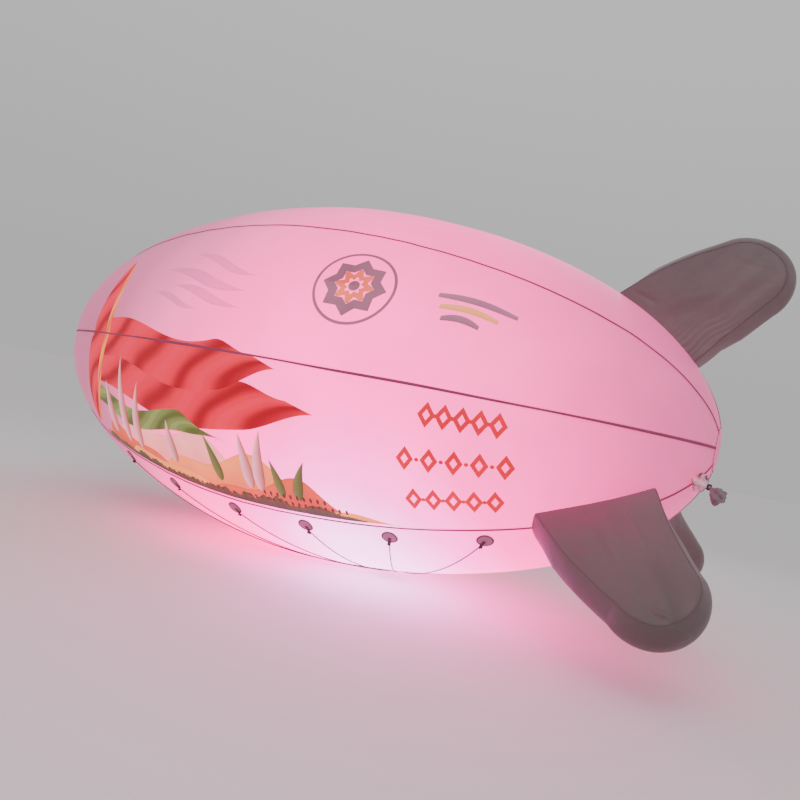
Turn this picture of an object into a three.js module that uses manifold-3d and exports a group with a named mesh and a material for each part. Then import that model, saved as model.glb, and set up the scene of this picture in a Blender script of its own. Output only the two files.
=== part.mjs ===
// Advertising blimp balloon, lengths in millimetres.
// +X points to the nose, +Y to port, +Z up, and the origin is the middle of the envelope.
// An angle around the hull is counted from port (+Y) towards the top (+Z).

import * as THREE from 'three';
import { mergeVertices } from 'three/addons/utils/BufferGeometryUtils.js';
import Module from 'manifold-3d';

const wasm = await Module();
wasm.setup();

const HULL_LENGTH = 5600;
const HULL_RADIUS = 1360;
const PROFILE_POWER = 1.85;
const HALF_LENGTH = HULL_LENGTH / 2;
const WALL = 10;
const GAP = 0.4;
const SEAM_GAP = 0.3;

const GORES = 8;
const FACETS_PER_GORE = 4;
const AROUND = GORES * FACETS_PER_GORE;
const FACET_ANGLE = (2 * Math.PI) / AROUND;
const STATIONS_ALONG = 20;
const POLE_HOLE_RADIUS = 40;

const TAPE_WIDTH = 40;
const TAPE_THICKNESS = 2.5;
const CAP_RADIUS = 150;
const CAP_THICKNESS = 5;

const FIN_EDGE_HEIGHT = 240;
const FIN_BULGE = 35;
const FIN_RINGS = [0.4, 0.75, 1];
const FIN_RIM_BULGE = 60;
const FIN_ROOT_BULGE = 12;
const FIN_FULL_BULGE_AT = 0.35;
const FIN_TIP_RADIUS = 227;
const FIN_TIP_STEPS = 8;
const FIN_HIDDEN_LENGTH = 150;

const PATCH_RADIUS = 55;
const PATCH_THICKNESS = 5;
const PATCH_BELOW_SEAM = 95;
const TAB_WIDTH = 22;
const TAB_HEIGHT = 22;
const TAB_THICKNESS = 5;

const RING_X = -830;
const RING_RADIUS = 40;
const RING_WIRE_RADIUS = 5;
const RING_LIFT = GAP + TAPE_THICKNESS + SEAM_GAP + RING_WIRE_RADIUS;
const LINE_DIAMETER = 6;
const LINE_SIDES = 8;
const LINE_STEPS = 12;

const RADIANS = Math.PI / 180;

const KEEL = -Math.PI / 2;

const fabric = (colour) => new THREE.MeshStandardMaterial({ color: colour, roughness: 0.55, metalness: 0 });
const skins = {
  envelope: fabric(0xf3b9cf),
  tape: fabric(0xd78aa6),
  fin: fabric(0xb79aa2),
  patch: fabric(0x8d7480),
  sleeve: fabric(0xe8c9d4),
  cord: fabric(0x3b3236),
  metal: new THREE.MeshStandardMaterial({ color: 0x9a9a9c, roughness: 0.35, metalness: 1 }),
};

const unscaled = new THREE.Vector3(1, 1, 1);

const balloon = new THREE.Group();

function addPiece(name, geometry, material) {
  const mesh = new THREE.Mesh(geometry, material);
  mesh.name = name;
  balloon.add(mesh);
  return mesh;
}

// The outline of the hull: radius at a place x along it, and the outward normal there.
function hullRadius(x) {
  const share = Math.min(Math.abs(x) / HALF_LENGTH, 1);
  return HULL_RADIUS * Math.sqrt(1 - share ** PROFILE_POWER);
}

function hullNormal(x) {
  const share = Math.abs(x) / HALF_LENGTH;
  const slope = (HULL_RADIUS ** 2 * PROFILE_POWER * share ** (PROFILE_POWER - 1)) / (2 * HALF_LENGTH);
  const along = Math.sign(x) * slope;
  const out = hullRadius(x);
  const size = Math.hypot(along, out);
  return { along: along / size, out: out / size };
}

function xAtRadius(radius) {
  return HALF_LENGTH * (1 - (radius / HULL_RADIUS) ** 2) ** (1 / PROFILE_POWER);
}

// Stations run from the tail hole to the nose hole, with one of them at the tether ring.
const stations = [-xAtRadius(POLE_HOLE_RADIUS), RING_X, xAtRadius(POLE_HOLE_RADIUS)];
for (let k = STATIONS_ALONG - 1; k > 0; k -= 1) {
  stations.push(HALF_LENGTH * Math.cos((Math.PI * k) / STATIONS_ALONG));
}
stations.sort((a, b) => a - b);

function stationPoint(x, angle, offset) {
  const normal = hullNormal(x);
  const radius = hullRadius(x) + normal.out * offset;
  return new THREE.Vector3(x + normal.along * offset, radius * Math.cos(angle), radius * Math.sin(angle));
}

// A point on the flat facet between two neighbouring angles, a given distance from the first.
function facetPoint(x, angle, side, distance, offset) {
  const start = stationPoint(x, angle, offset);
  const end = stationPoint(x, angle + side * FACET_ANGLE, offset);
  const width = start.distanceTo(end);
  return start.lerp(end, distance / width);
}

function signedVolume(geometry) {
  const place = geometry.getAttribute('position');
  const index = geometry.getIndex();
  const corners = [new THREE.Vector3(), new THREE.Vector3(), new THREE.Vector3()];
  let total = 0;
  for (let i = 0; i < index.count; i += 3) {
    corners.forEach((corner, j) => corner.fromBufferAttribute(place, index.getX(i + j)));
    total += corners[0].dot(corners[1].clone().cross(corners[2])) / 6;
  }
  return total;
}

function facingOut(geometry) {
  if (signedVolume(geometry) < 0) {
    const index = geometry.getIndex();
    for (let i = 0; i < index.count; i += 3) {
      const second = index.getX(i + 1);
      index.setX(i + 1, index.getX(i + 2));
      index.setX(i + 2, second);
    }
  }
  geometry.computeVertexNormals();
  return geometry;
}

function fromTriangles(points, triangles) {
  const geometry = new THREE.BufferGeometry().setFromPoints(points);
  geometry.setIndex(triangles);
  return facingOut(geometry);
}

// A closed wall between an outer and an inner grid of points, both rows by columns.
function wallBetween(outer, inner) {
  const rows = outer.length;
  const columns = outer[0].length;
  const points = [...outer.flat(), ...inner.flat()];
  const innerStart = rows * columns;
  const triangles = [];
  const quad = (a, b, c, d) => triangles.push(a, b, c, a, c, d);
  const at = (row, column) => row * columns + column;
  for (let row = 0; row < rows - 1; row += 1) {
    for (let column = 0; column < columns - 1; column += 1) {
      const ring = [at(row, column), at(row + 1, column), at(row + 1, column + 1), at(row, column + 1)];
      quad(...ring);
      quad(...ring.map((i) => innerStart + i).reverse());
    }
    const near = [at(row, 0), at(row + 1, 0)];
    const far = [at(row, columns - 1), at(row + 1, columns - 1)];
    quad(near[1], near[0], near[0] + innerStart, near[1] + innerStart);
    quad(far[0], far[1], far[1] + innerStart, far[0] + innerStart);
  }
  for (let column = 0; column < columns - 1; column += 1) {
    const near = [at(0, column), at(0, column + 1)];
    const far = [at(rows - 1, column), at(rows - 1, column + 1)];
    quad(near[0], near[1], near[1] + innerStart, near[0] + innerStart);
    quad(far[1], far[0], far[0] + innerStart, far[1] + innerStart);
  }
  return fromTriangles(points, triangles);
}

function toSolid(geometry) {
  const bare = geometry.clone();
  bare.deleteAttribute('normal');
  bare.deleteAttribute('uv');
  const joined = mergeVertices(bare, 1e-3);
  const mesh = new wasm.Mesh({
    numProp: 3,
    vertProperties: new Float32Array(joined.getAttribute('position').array),
    triVerts: new Uint32Array(joined.getIndex().array),
  });
  return new wasm.Manifold(mesh);
}

function toGeometry(solid) {
  const mesh = solid.getMesh();
  const geometry = new THREE.BufferGeometry();
  geometry.setAttribute('position', new THREE.BufferAttribute(new Float32Array(mesh.vertProperties), 3));
  geometry.setIndex(new THREE.BufferAttribute(new Uint32Array(mesh.triVerts), 1));
  geometry.computeVertexNormals();
  return geometry;
}

// A turned body on the X axis from [x, radius] pairs, its facets in line with the gores.
function turned(pairs) {
  const profile = pairs.map(([x, radius]) => new THREE.Vector2(radius, x));
  const geometry = mergeVertices(new THREE.LatheGeometry(profile, AROUND).rotateZ(-Math.PI / 2), 1e-3);
  return facingOut(geometry);
}

// Envelope gores, one between each pair of seams.
// Columns: name, angle of the gore's first seam in degrees.
const goreTable = [
  ['gore_port_upper_side', 0],
  ['gore_port_top', 45],
  ['gore_starboard_top', 90],
  ['gore_starboard_upper_side', 135],
  ['gore_starboard_lower_side', 180],
  ['gore_starboard_bottom', 225],
  ['gore_port_bottom', 270],
  ['gore_port_lower_side', 315],
];

function goreGrid(firstAngle, offset) {
  return stations.map((x) => {
    const row = [facetPoint(x, firstAngle, 1, SEAM_GAP / 2, offset)];
    for (let facet = 1; facet < FACETS_PER_GORE; facet += 1) {
      row.push(stationPoint(x, firstAngle + facet * FACET_ANGLE, offset));
    }
    row.push(facetPoint(x, firstAngle + FACETS_PER_GORE * FACET_ANGLE, -1, SEAM_GAP / 2, offset));
    return row;
  });
}

for (const [name, degrees] of goreTable) {
  const angle = degrees * RADIANS;
  addPiece(name, wallBetween(goreGrid(angle, 0), goreGrid(angle, -WALL)), skins.envelope);
}

// Seam tapes, welded over the joins from one end cap to the other.
// Columns: name, angle in degrees.
const tapeTable = [
  ['seam_tape_port', 0],
  ['seam_tape_port_upper', 45],
  ['seam_tape_top', 90],
  ['seam_tape_starboard_upper', 135],
  ['seam_tape_starboard', 180],
  ['seam_tape_starboard_lower', 225],
  ['seam_tape_keel', 270],
  ['seam_tape_port_lower', 315],
];

function tapeGrid(angle, width, offset) {
  return stations.slice(1, -1).map((x) => [
    facetPoint(x, angle, -1, width / 2, offset),
    stationPoint(x, angle, offset),
    facetPoint(x, angle, 1, width / 2, offset),
  ]);
}

const tapeCutters = new Map();
for (const [name, degrees] of tapeTable) {
  const angle = degrees * RADIANS;
  const outer = tapeGrid(angle, TAPE_WIDTH, GAP + TAPE_THICKNESS);
  const inner = tapeGrid(angle, TAPE_WIDTH, GAP);
  addPiece(name, wallBetween(outer, inner), skins.tape);
  const clearOuter = tapeGrid(angle, TAPE_WIDTH + 2 * GAP, 2 * GAP + TAPE_THICKNESS);
  const clearInner = tapeGrid(angle, TAPE_WIDTH + 2 * GAP, 0);
  tapeCutters.set(degrees, toSolid(wallBetween(clearOuter, clearInner)));
}

// The hull's outside with its clearance, which is cut from whatever stands on it.
const clearProfile = stations.map((x) => {
  const normal = hullNormal(x);
  return [x + normal.along * GAP, hullRadius(x) + normal.out * GAP];
});
const hullCutter = toSolid(turned([
  [clearProfile[0][0], 0],
  ...clearProfile,
  [clearProfile[clearProfile.length - 1][0], 0],
]));

// End caps over the points of the gores.
function endCap(side) {
  const holeX = side * xAtRadius(POLE_HOLE_RADIUS);
  const next = side * Math.abs(stations[1]);
  const share = (CAP_RADIUS - POLE_HOLE_RADIUS) / (hullRadius(next) - POLE_HOLE_RADIUS);
  const rimX = holeX + (next - holeX) * share;
  const lift = (x, radius, offset) => {
    const normal = hullNormal(x);
    return [x + normal.along * offset, radius + normal.out * offset];
  };
  const slope = lift(holeX, POLE_HOLE_RADIUS, GAP);
  const rim = lift(rimX, CAP_RADIUS, GAP);
  const rimTop = lift(rimX, CAP_RADIUS, GAP + CAP_THICKNESS);
  const slopeTop = lift(holeX, POLE_HOLE_RADIUS, GAP + CAP_THICKNESS);
  return turned([[slope[0], 0], slope, rim, rimTop, slopeTop, [slopeTop[0], 0]]);
}
addPiece('nose_cap', endCap(1), skins.patch);
addPiece('tail_cap', endCap(-1), skins.patch);

// Tail fins: the seam outline of a broad panel is two straight edges and a round tip, in the fin's own
// plane, as distance behind the middle and from the axis. A bulge of 1 moves it out to the rim, where it
// is full from a third of the way along an edge, and small at the root.
const finMiddle = new THREE.Vector2(2480, 1000);

function finEdge(rootPlace, tip, turn, bulge) {
  const root = new THREE.Vector2(rootPlace, hullRadius(rootPlace));
  const way = tip.clone().sub(root);
  const sine = FIN_TIP_RADIUS / way.length();
  const cosine = Math.sqrt(1 - sine ** 2);
  const reach = way.length() * cosine * FIN_FULL_BULGE_AT;
  way.normalize();
  const across = new THREE.Vector2(-way.y, way.x).multiplyScalar(turn);
  const normal = across.multiplyScalar(cosine).addScaledVector(way, -sine);
  const inward = new THREE.Vector2(-normal.y, normal.x).multiplyScalar(turn);
  const foot = root.clone().addScaledVector(normal, FIN_ROOT_BULGE * bulge);
  const full = root.clone().addScaledVector(inward, -reach).addScaledVector(normal, FIN_RIM_BULGE * bulge);
  return { normal, points: [foot.clone().addScaledVector(inward, FIN_HIDDEN_LENGTH), foot, full] };
}

function finOutline(fin, bulge, depth) {
  const tip = new THREE.Vector2(...fin.tip);
  const front = finEdge(fin.front, tip, 1, bulge);
  const back = finEdge(fin.back, tip, -1, bulge);
  const first = front.normal.angle();
  const last = back.normal.angle() - 2 * Math.PI;
  const radius = FIN_TIP_RADIUS + FIN_RIM_BULGE * bulge - depth;
  const round = [];
  for (let step = 0; step <= FIN_TIP_STEPS; step += 1) {
    const angle = first + ((last - first) * step) / FIN_TIP_STEPS;
    round.push(new THREE.Vector2(Math.cos(angle), Math.sin(angle)).multiplyScalar(radius).add(tip));
  }
  const edges = [front, back].map((edge) => edge.points.map((point) => (
    point.addScaledVector(edge.normal, -depth))));
  return [...edges[0], ...round, ...edges[1].reverse()];
}

// A point of a fin: its place in the fin's plane, and its height off that plane.
function finPoint(angle, flat, height) {
  const y = flat.y * Math.cos(angle) - height * Math.sin(angle);
  const z = flat.y * Math.sin(angle) + height * Math.cos(angle);
  return new THREE.Vector3(-flat.x, y, z);
}

function finPanel(angle, fin, side) {
  const seam = finOutline(fin, 0, 0);
  const base = FIN_EDGE_HEIGHT / 2 + SEAM_GAP;
  const layer = (height) => [
    finPoint(angle, finMiddle, side * (height + FIN_BULGE)),
    ...FIN_RINGS.flatMap((share) => seam.map((point) => {
      const flat = finMiddle.clone().lerp(point, share);
      return finPoint(angle, flat, side * (height + FIN_BULGE * (1 - share ** 2)));
    })),
  ];
  const points = [...layer(base + WALL), ...layer(base)];
  const count = seam.length;
  const innerStart = points.length / 2;
  const triangles = [];
  for (let i = 0; i < count; i += 1) {
    const next = (i + 1) % count;
    triangles.push(0, 1 + i, 1 + next, innerStart, innerStart + 1 + next, innerStart + 1 + i);
    for (let ring = 1; ring < FIN_RINGS.length; ring += 1) {
      const low = 1 + (ring - 1) * count;
      const high = 1 + ring * count;
      triangles.push(low + i, high + i, high + next, low + i, high + next, low + next);
      const [a, b, c, d] = [low + i, high + i, high + next, low + next].map((k) => k + innerStart);
      triangles.push(a, c, b, a, d, c);
    }
    const rim = 1 + (FIN_RINGS.length - 1) * count;
    triangles.push(rim + i, innerStart + rim + i, innerStart + rim + next);
    triangles.push(rim + i, innerStart + rim + next, rim + next);
  }
  return fromTriangles(points, triangles);
}

// The edge band of a fin, which bulges outwards between its two seams.
const BAND_STEPS = [-1, -0.5, 0, 0.5, 1];
function finBand(angle, fin) {
  const grid = (depth) => {
    const columns = BAND_STEPS.map((step) => (
      finOutline(fin, 1 - step ** 2, depth).map((flat) => finPoint(angle, flat, (step * FIN_EDGE_HEIGHT) / 2))
    ));
    return columns[0].map((_, i) => columns.map((column) => column[i]));
  };
  return wallBetween(grid(0), grid(WALL));
}

// The top fin stands a little further back, and the starboard fin is pushed in from its tip.
// Columns: angle in degrees, front and back of the root, centre of the round tip, names of its two panels.
const finTable = {
  fin_top: { degrees: 90, front: 2060, back: 2585, tip: [2770, 1065], panels: ['starboard', 'port'] },
  fin_port: { degrees: 315, front: 1975, back: 2545, tip: [2670, 1185], panels: ['lower', 'upper'] },
  fin_starboard: { degrees: 225, front: 1975, back: 2545, tip: [2520, 1090], panels: ['upper', 'lower'] },
};
for (const [name, fin] of Object.entries(finTable)) {
  const angle = fin.degrees * RADIANS;
  const band = toSolid(finBand(angle, fin)).subtract(hullCutter);
  addPiece(`${name}_edge_band`, toGeometry(band.subtract(tapeCutters.get(fin.degrees))), skins.fin);
  fin.panels.forEach((panelName, i) => {
    const panel = toSolid(finPanel(angle, fin, 2 * i - 1)).subtract(hullCutter);
    addPiece(`${name}_${panelName}_panel`, toGeometry(panel), skins.fin);
  });
}

// Load patches below the lower side seams, each with a webbing tab that faces along its line.
const patchPlaces = [1290, 685, 55, -530, -1115, -1685];

// Where the hull's normal at a place along it meets the axis.
function axisFoot(x) {
  const normal = hullNormal(x);
  return x - (hullRadius(x) * normal.along) / normal.out;
}

// The point that lies over the hull straight out from a place on the axis, by halving the reach.
function hullPointFrom(middle, way, lift) {
  let low = 0;
  let high = 4;
  for (let halving = 0; halving < 40; halving += 1) {
    const reach = (low + high) / 2;
    const inside = Math.hypot(way.y, way.z) * reach < hullRadius(middle + way.x * reach);
    low = inside ? reach : low;
    high = inside ? high : reach;
  }
  return stationPoint(middle + way.x * low, Math.atan2(way.z, way.y), lift);
}

// A place on the shortest way over the belly from a patch to the tether ring, its share from 0 to 1.
function linePoint(start, share) {
  const end = stationPoint(RING_X, KEEL, 0);
  const middle = (axisFoot(start.x) + axisFoot(RING_X)) / 2;
  const way = start.clone().lerp(end, share).sub(new THREE.Vector3(middle, 0, 0));
  return hullPointFrom(middle, way, RING_LIFT);
}

function facetFrame(x, seamAngle, side, distance) {
  const next = stations.findIndex((station) => station > x);
  const share = (x - stations[next - 1]) / (stations[next] - stations[next - 1]);
  const low = facetPoint(stations[next - 1], seamAngle, side, distance, 0);
  const high = facetPoint(stations[next], seamAngle, side, distance, 0);
  const along = high.clone().sub(low).normalize();
  const across = facetPoint(x, seamAngle, side, 2 * distance, 0)
    .sub(facetPoint(x, seamAngle, side, distance, 0)).normalize();
  const out = along.clone().cross(across).multiplyScalar(-side).normalize();
  const down = along.clone().cross(out).multiplyScalar(side);
  const frame = new THREE.Matrix4().makeBasis(along.clone().multiplyScalar(-side), down, out);
  frame.setPosition(low.lerp(high, share));
  return frame;
}

function loadPatch(frame) {
  const disc = new THREE.CylinderGeometry(PATCH_RADIUS, PATCH_RADIUS, 4 * PATCH_THICKNESS, 20);
  disc.rotateX(Math.PI / 2).translate(0, 0, -PATCH_THICKNESS);
  const start = new THREE.Vector3().setFromMatrixPosition(frame);
  const way = linePoint(start, 0.1).applyMatrix4(frame.clone().invert());
  const tab = new THREE.BoxGeometry(TAB_WIDTH, TAB_THICKNESS, TAB_HEIGHT + PATCH_THICKNESS);
  tab.translate(0, PATCH_RADIUS - TAB_THICKNESS / 2, (TAB_HEIGHT + PATCH_THICKNESS) / 2);
  tab.rotateZ(Math.atan2(-way.x, way.y));
  const solid = toSolid(disc.applyMatrix4(frame)).add(toSolid(tab.applyMatrix4(frame)));
  return toGeometry(solid.subtract(hullCutter));
}

// The ring lies against the keel tape, square to the hull there.
const ringMiddle = stationPoint(RING_X, KEEL, RING_LIFT);
const ringOut = stationPoint(RING_X, KEEL, RING_LIFT + 1).sub(ringMiddle);
const ringPlace = new THREE.Matrix4().compose(
  ringMiddle,
  new THREE.Quaternion().setFromUnitVectors(new THREE.Vector3(0, 0, -1), ringOut),
  unscaled,
);
const ring = new THREE.TorusGeometry(RING_RADIUS, RING_WIRE_RADIUS, 8, 24).applyMatrix4(ringPlace);
addPiece('tether_ring', facingOut(mergeVertices(ring, 1e-3)), skins.metal);

// What a line keeps clear of at its two ends, a round space about the patch and one about the ring.
const CLEAR_HEIGHT = 120;
function clearance(radius, place) {
  const space = new THREE.CylinderGeometry(radius, radius, CLEAR_HEIGHT, 48).rotateX(Math.PI / 2);
  return toSolid(space.applyMatrix4(place));
}
const ringClearance = clearance(RING_RADIUS + RING_WIRE_RADIUS + SEAM_GAP, ringPlace);

// Bridle lines, taut over the belly from the tabs to the ring.
function bridleLine(frame) {
  const start = new THREE.Vector3().setFromMatrixPosition(frame);
  const places = Array.from({ length: LINE_STEPS + 1 }, (_, i) => linePoint(start, i / LINE_STEPS));
  const section = new THREE.Shape().absarc(0, 0, LINE_DIAMETER / 2, 0, 2 * Math.PI);
  const line = new THREE.ExtrudeGeometry(section, {
    steps: LINE_STEPS,
    curveSegments: LINE_SIDES,
    extrudePath: new THREE.CatmullRomCurve3(places),
  });
  const patchClearance = clearance(PATCH_RADIUS + SEAM_GAP, frame);
  return toGeometry(toSolid(line).subtract(patchClearance).subtract(ringClearance));
}

// Columns: side of the hull, angle of its lower seam in degrees, way down from that seam.
const sideTable = [
  ['port', 315, -1],
  ['starboard', 225, 1],
];
for (const [sideName, seamDegrees, side] of sideTable) {
  patchPlaces.forEach((x, i) => {
    const frame = facetFrame(x, seamDegrees * RADIANS, side, PATCH_BELOW_SEAM);
    addPiece(`${sideName}_patch_${i + 1}`, loadPatch(frame), skins.patch);
    addPiece(`${sideName}_line_${i + 1}`, bridleLine(frame), skins.cord);
  });
}

// Filling sleeve at the tail, gathered and tied off, with its slack end hanging in a bundle.
const SLEEVE_X = -xAtRadius(315);
const SLEEVE_ANGLE = -41 * RADIANS;
const NECK_END = 118;
const NECK_RADIUS = 15;
// Columns: distance out from the hull, radius.
const sleeveProfile = [
  [-30, 0],
  [-30, 45],
  [6, 42],
  [32, 56],
  [60, 57],
  [86, 42],
  [102, NECK_RADIUS],
  [NECK_END, NECK_RADIUS],
  [NECK_END, 0],
];
const sleeveFoot = stationPoint(SLEEVE_X, SLEEVE_ANGLE, 0);
const sleeveOut = stationPoint(SLEEVE_X, SLEEVE_ANGLE, 1).sub(sleeveFoot);
const up = new THREE.Vector3(0, 1, 0);
const sleeveTurn = new THREE.Quaternion().setFromUnitVectors(up, sleeveOut);
const sleevePlace = new THREE.Matrix4().compose(sleeveFoot, sleeveTurn, unscaled);

function turnedUp(profile, sides, place) {
  const geometry = new THREE.LatheGeometry(profile.map(([y, radius]) => new THREE.Vector2(radius, y)), sides);
  return toSolid(facingOut(mergeVertices(geometry, 1e-3)).applyMatrix4(place));
}

const sleeve = turnedUp(sleeveProfile, 16, sleevePlace).subtract(hullCutter).subtract(tapeCutters.get(315));
addPiece('filling_sleeve', toGeometry(sleeve), skins.sleeve);

const TIE_WIRE_RADIUS = 4;
const tie = new THREE.TorusGeometry(NECK_RADIUS + 2 * SEAM_GAP + TIE_WIRE_RADIUS, TIE_WIRE_RADIUS, 8, 18);
tie.rotateX(Math.PI / 2).translate(0, NECK_END - TIE_WIRE_RADIUS, 0).applyMatrix4(sleevePlace);
addPiece('sleeve_tie', facingOut(mergeVertices(tie, 1e-3)), skins.cord);

// The slack end leaves the neck square and hangs back and down.
// Columns: distance along it, radius.
const slackProfile = [
  [-20, 0],
  [-20, 12],
  [10, 14],
  [34, 42],
  [66, 49],
  [96, 38],
  [108, 16],
  [108, 0],
];
const slackStart = sleeveFoot.clone().addScaledVector(sleeveOut, NECK_END);
const slackWay = sleeveOut.clone().multiplyScalar(0.75).add(new THREE.Vector3(0, 0, -0.66)).normalize();
const slackTurn = new THREE.Quaternion().setFromUnitVectors(up, slackWay);
const slack = turnedUp(slackProfile, 16, new THREE.Matrix4().compose(slackStart, slackTurn, unscaled));
const neckCutter = new THREE.CylinderGeometry(60, 60, 100, 16).translate(0, NECK_END + SEAM_GAP - 50, 0);
const slackSolid = slack.subtract(toSolid(neckCutter.applyMatrix4(sleevePlace)));
addPiece('sleeve_slack_end', toGeometry(slackSolid), skins.sleeve);

export default balloon;
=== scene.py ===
from math import atan2, copysign, cos, exp, hypot, pi, radians, sin, sqrt
from math import degrees as in_degrees

import bmesh
import bpy
from bmesh import ops
from mathutils import Matrix, Vector, noise
from mathutils.bvhtree import BVHTree


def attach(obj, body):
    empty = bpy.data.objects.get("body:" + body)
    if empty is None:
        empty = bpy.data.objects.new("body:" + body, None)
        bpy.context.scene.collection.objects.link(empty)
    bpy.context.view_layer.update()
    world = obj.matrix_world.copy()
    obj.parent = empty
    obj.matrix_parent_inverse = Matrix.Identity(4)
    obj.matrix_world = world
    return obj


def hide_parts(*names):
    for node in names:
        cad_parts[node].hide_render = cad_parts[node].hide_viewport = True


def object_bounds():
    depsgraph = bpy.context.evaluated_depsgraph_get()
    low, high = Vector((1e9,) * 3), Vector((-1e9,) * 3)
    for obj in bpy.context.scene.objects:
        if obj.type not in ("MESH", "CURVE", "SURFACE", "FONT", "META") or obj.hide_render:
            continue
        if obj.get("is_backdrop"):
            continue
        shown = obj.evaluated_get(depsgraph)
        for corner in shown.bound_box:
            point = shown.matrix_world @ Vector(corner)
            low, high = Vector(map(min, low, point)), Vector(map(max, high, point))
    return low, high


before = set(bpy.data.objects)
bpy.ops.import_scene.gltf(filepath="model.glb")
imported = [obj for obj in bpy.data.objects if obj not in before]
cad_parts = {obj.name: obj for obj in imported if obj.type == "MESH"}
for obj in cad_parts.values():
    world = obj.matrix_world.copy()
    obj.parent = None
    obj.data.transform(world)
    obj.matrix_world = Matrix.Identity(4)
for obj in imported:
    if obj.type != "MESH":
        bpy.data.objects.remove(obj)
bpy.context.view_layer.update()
scene = bpy.context.scene

# Sizes in metres, as the balloon is made. +X points to the nose, +Y to port, +Z up.
HULL_HALF = 2.8
HULL_RADIUS = 1.36
PROFILE_POWER = 1.85
GORE_ANGLE = radians(45)
POLE_RADIUS = 0.04
WALL = 0.01
KEEL = -pi / 2
SIDES = {"port": 1, "starboard": -1}
FULL_TURN = 2 * pi
SAME_POINT = 1e-5

# How the filled cloth departs from the plain spindle.
SEAM_DIP = 0.008
SEAM_DIP_WIDTH = 0.05
PUCKER_DEPTH = 0.0028
PUCKER_LENGTH = 0.13
PUCKER_REACH = 0.1
PUCKER_SEAM_STEP = 7.3
WAVE_DEPTH = 0.004
WAVE_LENGTH = 0.8
POLE_FADE_RADIUS = 0.4


def noise_at(x, y, z):
    return noise.noise(Vector((x, y, z)))


def hull_radius(x):
    share = min(abs(x) / HULL_HALF, 1)
    return HULL_RADIUS * sqrt(1 - share**PROFILE_POWER)


def hull_normal(x):
    share = abs(x) / HULL_HALF
    slope = HULL_RADIUS**2 * PROFILE_POWER * share ** (PROFILE_POWER - 1) / (2 * HULL_HALF)
    normal = Vector((copysign(slope, x), hull_radius(x)))
    return normal.normalized()


def x_at_radius(radius):
    return HULL_HALF * (1 - (radius / HULL_RADIUS) ** 2) ** (1 / PROFILE_POWER)


def hull_point(x, angle, lift=0.0):
    along, out = hull_normal(x)
    radius = hull_radius(x) + out * lift
    return Vector((x + along * lift, radius * cos(angle), radius * sin(angle)))


def above_hull(point):
    """How far a point is from the axis beyond the hull."""
    return hypot(point.y, point.z) - hull_radius(point.x)


def skin_lift(x, angle):
    """Dips at the seams, short puckers beside them and long soft waves over the whole skin."""
    radius = hull_radius(x)
    turn = angle / GORE_ANGLE
    seam = round(turn)
    away = abs(turn - seam) * GORE_ANGLE * radius
    dip = -SEAM_DIP * exp(-((away / SEAM_DIP_WIDTH) ** 2))
    pucker = noise_at(x / PUCKER_LENGTH, seam * PUCKER_SEAM_STEP, away / PUCKER_REACH)
    pucker *= PUCKER_DEPTH * exp(-away / PUCKER_REACH)
    place = Vector((x, radius * cos(angle), radius * sin(angle)))
    wave = WAVE_DEPTH * noise.noise(place / WAVE_LENGTH)
    fade = min(radius / POLE_FADE_RADIUS, 1) ** 2
    return (dip + pucker + wave) * fade


def skin_point(x, angle, lift=0.0):
    return hull_point(x, angle, skin_lift(x, angle) + lift)


def between(ends, share):
    return ends[0] + (ends[1] - ends[0]) * share


def eased(low, high, value):
    """A smooth step from 0 to 1."""
    share = min(max((value - low) / (high - low), 0), 1)
    return share * share * (3 - 2 * share)


# Meshes


def merged(work, distance=SAME_POINT):
    ops.remove_doubles(work, verts=work.verts[:], dist=distance)


def faced_out(work):
    ops.recalc_face_normals(work, faces=work.faces[:])


def edges_of(verts):
    return list({edge for vert in verts for edge in vert.link_edges if edge.other_vert(vert) in verts})


def axes(x, y, z):
    """The turn whose own axes point along three ways."""
    return Matrix((x, y, z)).transposed().to_4x4()


def circle(work, sides, radius, place, capped):
    options = {"segments": sides, "radius": radius, "matrix": place, "cap_ends": capped}
    return ops.create_circle(work, **options)["verts"]


def wrapped(columns, rows, place, closed=False):
    """A grid laid on the balloon: place(u, v) gives the point for u and v from 0 to 1."""
    work = bmesh.new()
    flat = work.loops.layers.uv.new("UVMap")
    ops.create_grid(work, x_segments=columns, y_segments=rows, size=0.5)
    for face in work.faces:
        for loop in face.loops:
            loop[flat].uv = (loop.vert.co.x + 0.5, loop.vert.co.y + 0.5)
    for vert in work.verts:
        vert.co = place(vert.co.x + 0.5, vert.co.y + 0.5)
    if closed:
        merged(work)
    work.normal_update()
    facing = sum(face.calc_center_median().dot(face.normal) for face in work.faces)
    if facing < 0:
        ops.reverse_faces(work, faces=work.faces[:])
    return work


def tube(points, radius, sides, work=None):
    """A closed round tube through the points, its rings bridged one to the next."""
    work = work or bmesh.new()
    last = len(points) - 1
    side = None
    before = None
    for i, point in enumerate(points):
        way = (points[min(i + 1, last)] - points[max(i - 1, 0)]).normalized()
        side = way.orthogonal() if side is None else side - way * side.dot(way)
        side.normalize()
        place = Matrix.Translation(point) @ axes(side, way.cross(side), way)
        edges = edges_of(circle(work, sides, radius, place, i in (0, last)))
        if before:
            ops.bridge_loops(work, edges=before + edges)
        before = edges
    faced_out(work)
    return work


def spun(work, outline, steps, place):
    """Spins an outline about the Z axis and moves the body to its place."""
    about = {"cent": (0, 0, 0), "axis": (0, 0, 1), "angle": FULL_TURN}
    ops.spin(work, geom=outline, steps=steps, use_merge=True, **about)
    merged(work, 1e-6)
    faced_out(work)
    ops.transform(work, matrix=place, verts=work.verts[:])
    return work


def turned(profile, steps, place):
    """A turned body from (radius, height) pairs that start and end on its axis."""
    work = bmesh.new()
    verts = [work.verts.new((radius, 0, height)) for radius, height in profile]
    edges = [work.edges.new(pair) for pair in zip(verts, verts[1:])]
    return spun(work, verts + edges, steps, place)


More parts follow.
